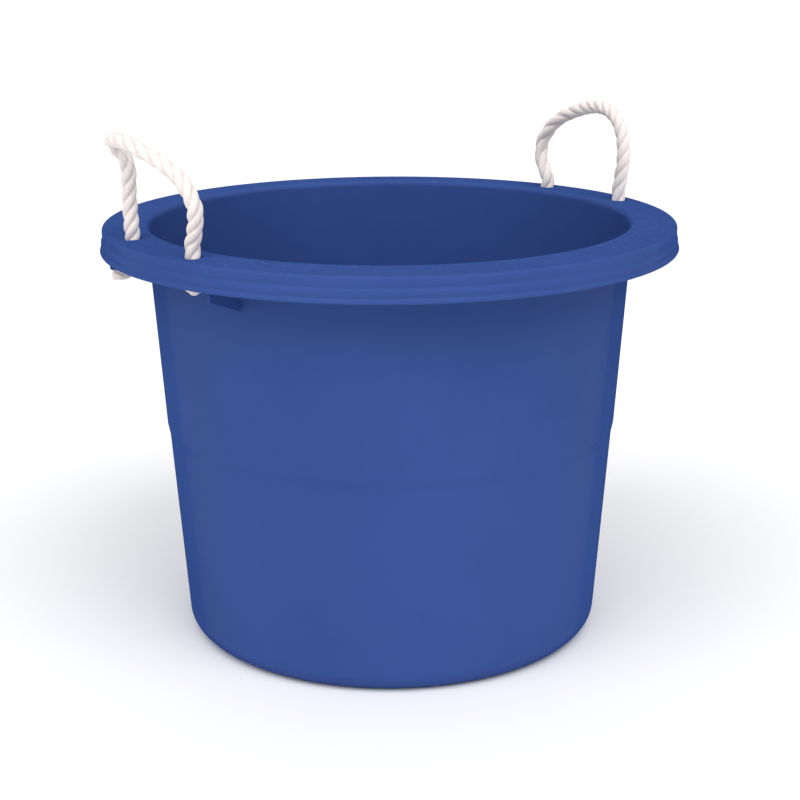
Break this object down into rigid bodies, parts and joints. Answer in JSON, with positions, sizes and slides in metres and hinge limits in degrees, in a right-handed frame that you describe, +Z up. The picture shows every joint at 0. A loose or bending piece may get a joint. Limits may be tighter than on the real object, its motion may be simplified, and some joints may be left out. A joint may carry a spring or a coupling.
{
  "type": "mortar mixing tub",
  "caption": "Round tapered plastic utility tub with a broad rolled rim and knotted rope handles, for mixing, carrying or icing drinks.",
  "frame": {"origin": "centre of the base, on the plane that the tub stands on", "axes": "+Z up along the tub's axis; -Y is the front; the handles are at the left front and the right back"},
  "size_m": [0.5874, 0.5874, 0.5355],
  "materials": {
    "tub_plastic": "blue injection-moulded polyethylene, satin to semi-gloss",
    "rope": "off-white three-strand laid rope, matt with a slight fibre sheen"
  },
  "bodies": {
    "tub": {"tub_shell": "tub_plastic"},
    "left_rope_ends": {"left_rope_leg_rear": "rope", "left_rope_knot_rear": "rope", "left_rope_leg_front": "rope", "left_rope_knot_front": "rope"},
    "left_handle": {"left_rope_arch": "rope"},
    "right_rope_ends": {"right_rope_leg_front": "rope", "right_rope_knot_front": "rope", "right_rope_leg_rear": "rope", "right_rope_knot_rear": "rope"},
    "right_handle": {"right_rope_arch": "rope"}
  },
  "joints": [
    {"name": "left_handle_lift", "type": "slide", "parent": "tub", "child": "left_rope_ends", "axis": [0, 0, 1], "range_m": [-0.003, 0.0012]},
    {"name": "left_handle_tilt", "type": "hinge", "parent": "left_rope_ends", "child": "left_handle", "pos_m": [-0.21353, -0.15456, 0.44018], "axis": [0.5864, -0.81, 0], "range_deg": [-88, 62]},
    {"name": "right_handle_lift", "type": "slide", "parent": "tub", "child": "right_rope_ends", "axis": [0, 0, 1], "range_m": [-0.003, 0.0012]},
    {"name": "right_handle_tilt", "type": "hinge", "parent": "right_rope_ends", "child": "right_handle", "pos_m": [0.21353, 0.15456, 0.44018], "axis": [-0.5864, 0.81, 0], "range_deg": [-78, 72]}
  ]
}
